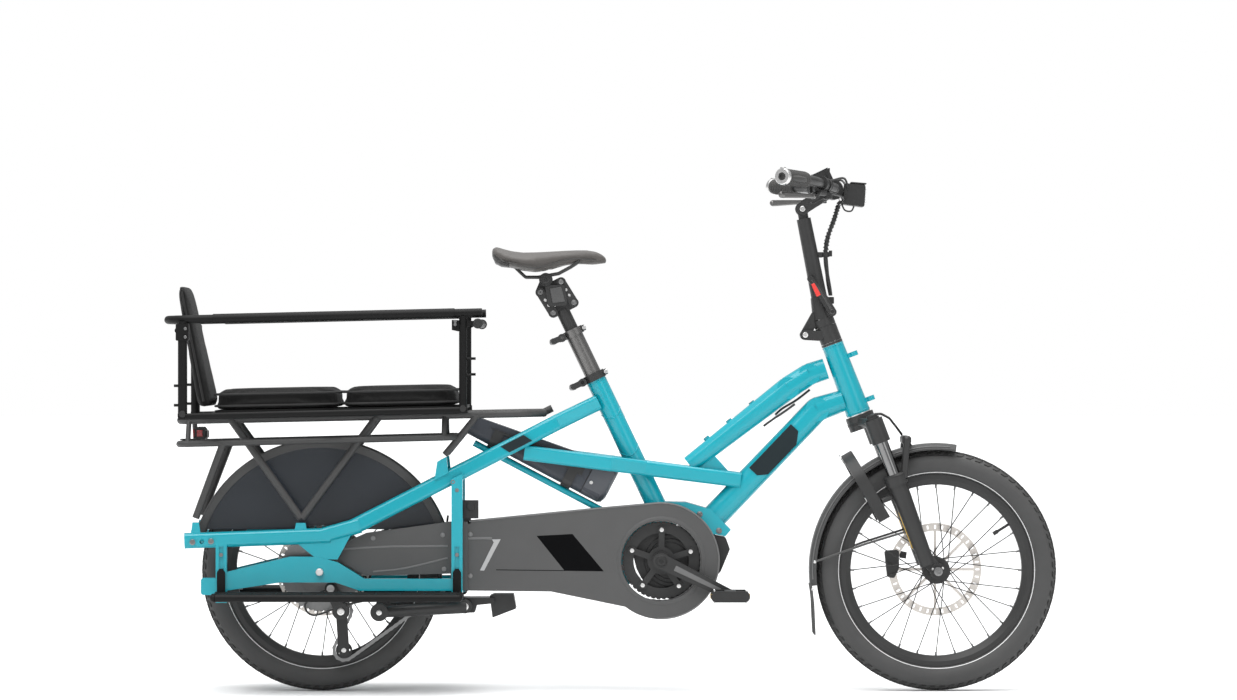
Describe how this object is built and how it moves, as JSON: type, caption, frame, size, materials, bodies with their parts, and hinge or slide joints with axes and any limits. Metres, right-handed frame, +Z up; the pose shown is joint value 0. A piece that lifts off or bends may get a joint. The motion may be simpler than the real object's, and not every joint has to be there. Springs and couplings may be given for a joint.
{
  "type": "cargo bicycle",
  "caption": "Longtail electric cargo bicycle with a folding handlebar post, sprung fork and seatpost, padded rear bench inside a safety rail, foot boards, mudguards, lights and a stand.",
  "frame": {"origin": "on the ground under the middle of the bicycle", "axes": "+X forward, +Y to the rider's left, +Z up; the chain is on the -Y side"},
  "size_m": [1.94, 0.6936, 1.141],
  "materials": {
    "frame_paint": "satin teal paint",
    "black_metal": "satin black",
    "gloss_black": "gloss black",
    "steel": "satin",
    "black_plastic": "matt",
    "dark_plastic": "matt",
    "skirt_plastic": "satin",
    "tyre": "matt",
    "rubber": "matt",
    "pad_fabric": "woven",
    "saddle_cover": "matt",
    "tail_lens": "gloss"
  },
  "bodies": {
    "frame": {"frame_front": "frame_paint", "frame_rear": "frame_paint", "frame_fasteners": "steel", "frame_brackets": "black_metal", "motor_unit": "black_metal", "chain_case": "dark_plastic", "chain": "steel", "derailleur_body": "black_metal", "rear_fender": "black_plastic", "wheel_skirts": "skirt_plastic", "rack": "black_metal", "tail_light": "tail_lens", "safety_rail": "black_metal", "seat_pads": "pad_fabric", "foot_rests": "black_metal", "rear_caliper": "black_metal", "battery": "dark_plastic", "lower_seat_clamp": "black_metal"},
    "steering": {"fork_crown": "black_metal", "post_base": "black_metal"},
    "lowers": {"fork_lowers": "black_metal", "front_axle": "black_metal", "front_fender": "black_plastic", "front_caliper": "black_metal", "ring_lock": "black_metal", "front_hose": "rubber"},
    "shackle": {"lock_shackle": "steel"},
    "front_wheel": {"front_tyre": "tyre", "front_rim": "black_metal", "front_hub": "black_metal", "front_rotor": "steel"},
    "rear_wheel": {"rear_tyre": "tyre", "rear_rim": "black_metal", "rear_hub": "black_metal", "rear_rotor": "steel"},
    "crank": {"crankset": "black_metal", "chainring": "black_metal"},
    "cassette": {"cassette": "steel"},
    "right_pedal": {"right_pedal": "black_plastic"},
    "left_pedal": {"left_pedal": "black_plastic"},
    "derailleur_cage": {"derailleur_cage": "black_metal"},
    "stand": {"stand_legs": "black_metal"},
    "handlepost": {"handlepost": "black_metal", "cockpit_cables": "rubber"},
    "latch": {"latch_lever": "gloss_black"},
    "stem": {"stem_head": "black_metal", "handlebar": "black_metal", "grips": "rubber", "headlight": "black_plastic", "bar_fittings": "black_plastic"},
    "right_brake_lever": {"right_brake_lever": "black_metal"},
    "left_brake_lever": {"left_brake_lever": "black_metal"},
    "seatpost_outer": {"seatpost_outer": "black_metal"},
    "upper_clamp_lever": {"upper_clamp_lever": "black_metal"},
    "seatpost_inner": {"seatpost_inner": "black_metal"},
    "link_rear": {"link_rear": "black_metal"},
    "link_front": {"link_front": "black_metal"},
    "saddle": {"saddle_head": "black_metal", "saddle": "saddle_cover"},
    "lower_clamp_lever": {"lower_clamp_lever": "black_metal"}
  },
  "joints": [
    {"name": "steering_turn", "type": "hinge", "parent": "frame", "child": "steering", "pos_m": [0.6721, 0, 0.24974], "axis": [-0.3535, 0, 0.9354], "range_deg": [-55, 55]},
    {"name": "fork_travel", "type": "slide", "parent": "steering", "child": "lowers", "axis": [-0.3535, 0, 0.9354], "range_m": [0, 0.055], "stiffness_N_per_m": 16000, "springref_m": -0.02, "deforming": ["front_hose"]},
    {"name": "lock_close", "type": "hinge", "parent": "lowers", "child": "shackle", "pos_m": [0.54772, 0, 0.45178], "axis": [0.8676, 0, 0.4972], "range_deg": [-170, 0]},
    {"name": "front_wheel_spin", "type": "hinge", "parent": "lowers", "child": "front_wheel", "pos_m": [0.7072, 0, 0.263], "axis": [0, 1, 0], "continuous": true},
    {"name": "rear_wheel_spin", "type": "hinge", "parent": "frame", "child": "rear_wheel", "pos_m": [-0.6348, 0, 0.263], "axis": [0, 1, 0], "continuous": true},
    {"name": "crank_turn", "type": "hinge", "parent": "frame", "child": "crank", "pos_m": [0.1059, 0, 0.2858], "axis": [0, 1, 0], "continuous": true},
    {"name": "cassette_turn", "type": "hinge", "parent": "frame", "child": "cassette", "pos_m": [-0.6348, 0, 0.263], "axis": [0, 1, 0], "continuous": true},
    {"name": "right_pedal_spin", "type": "hinge", "parent": "crank", "child": "right_pedal", "pos_m": [0.25395, -0.141, 0.21295], "axis": [0, 1, 0], "continuous": true},
    {"name": "left_pedal_spin", "type": "hinge", "parent": "crank", "child": "left_pedal", "pos_m": [-0.04215, 0.141, 0.35865], "axis": [0, 1, 0], "continuous": true},
    {"name": "derailleur_swing", "type": "hinge", "parent": "frame", "child": "derailleur_cage", "pos_m": [-0.59, -0.0498, 0.176], "axis": [0, -1, 0], "range_deg": [0, 12], "stiffness_Nm_per_rad": 2, "springref_deg": -11.46, "deforming": ["chain"]},
    {"name": "stand_swing", "type": "hinge", "parent": "frame", "child": "stand", "pos_m": [-0.321, 0, 0.186], "axis": [0, -1, 0], "range_deg": [0, 95]},
    {"name": "post_fold", "type": "hinge", "parent": "steering", "child": "handlepost", "pos_m": [0.4208, 0, 0.7768], "axis": [0, -1, 0], "range_deg": [0, 90]},
    {"name": "latch_open", "type": "hinge", "parent": "handlepost", "child": "latch", "pos_m": [0.4796, -0.02, 0.827], "axis": [0, 1, 0], "range_deg": [0, 105]},
    {"name": "stem_tilt", "type": "hinge", "parent": "handlepost", "child": "stem", "pos_m": [0.4145, 0, 1.052], "axis": [0, 1, 0], "range_deg": [-15, 15], "deforming": ["cockpit_cables"]},
    {"name": "right_brake_pull", "type": "hinge", "parent": "stem", "child": "right_brake_lever", "pos_m": [0.43, -0.216, 1.074], "axis": [-0.797, 0.604, 0], "range_deg": [0, 4], "stiffness_Nm_per_rad": 2, "springref_deg": -5.73},
    {"name": "left_brake_pull", "type": "hinge", "parent": "stem", "child": "left_brake_lever", "pos_m": [0.43, 0.216, 1.074], "axis": [0.797, 0.604, 0], "range_deg": [0, 4], "stiffness_Nm_per_rad": 2, "springref_deg": -5.73},
    {"name": "seatpost_slide", "type": "slide", "parent": "frame", "child": "seatpost_outer", "axis": [-0.4334, 0, 0.9012], "range_m": [-0.085, 0.04]},
    {"name": "upper_clamp_open", "type": "hinge", "parent": "seatpost_outer", "child": "upper_clamp_lever", "pos_m": [-0.11039, 0, 0.77019], "axis": [0, 1, 0], "range_deg": [0, 60]},
    {"name": "lower_clamp_open", "type": "hinge", "parent": "frame", "child": "lower_clamp_lever", "pos_m": [-0.06525, 0, 0.67286], "axis": [0, 1, 0], "range_deg": [0, 60]},
    {"name": "inner_post_slide", "type": "slide", "parent": "seatpost_outer", "child": "seatpost_inner", "axis": [-0.4334, 0, 0.9012], "range_m": [-0.025, 0.06]},
    {"name": "seat_link_rear", "type": "hinge", "parent": "seatpost_inner", "child": "link_rear", "pos_m": [-0.1297, 0, 0.8249], "axis": [0, -1, 0], "range_deg": [0, 35], "stiffness_Nm_per_rad": 30, "springref_deg": -8.59},
    {"name": "seat_link_front", "type": "hinge", "parent": "seatpost_inner", "child": "link_front", "pos_m": [-0.0846, 0, 0.8475], "axis": [0, -1, 0], "range_deg": [0, 35]},
    {"name": "saddle_level", "type": "hinge", "parent": "link_rear", "child": "saddle", "pos_m": [-0.1575, 0, 0.87], "axis": [0, -1, 0], "range_deg": [-35, 0]}
  ],
  "couplings": [
    {"joint": "cassette_turn", "follows": "crank_turn", "ratio": 1.5714},
    {"joint": "seat_link_front", "follows": "seat_link_rear", "ratio": 1},
    {"joint": "saddle_level", "follows": "seat_link_rear", "ratio": -1}
  ]
}
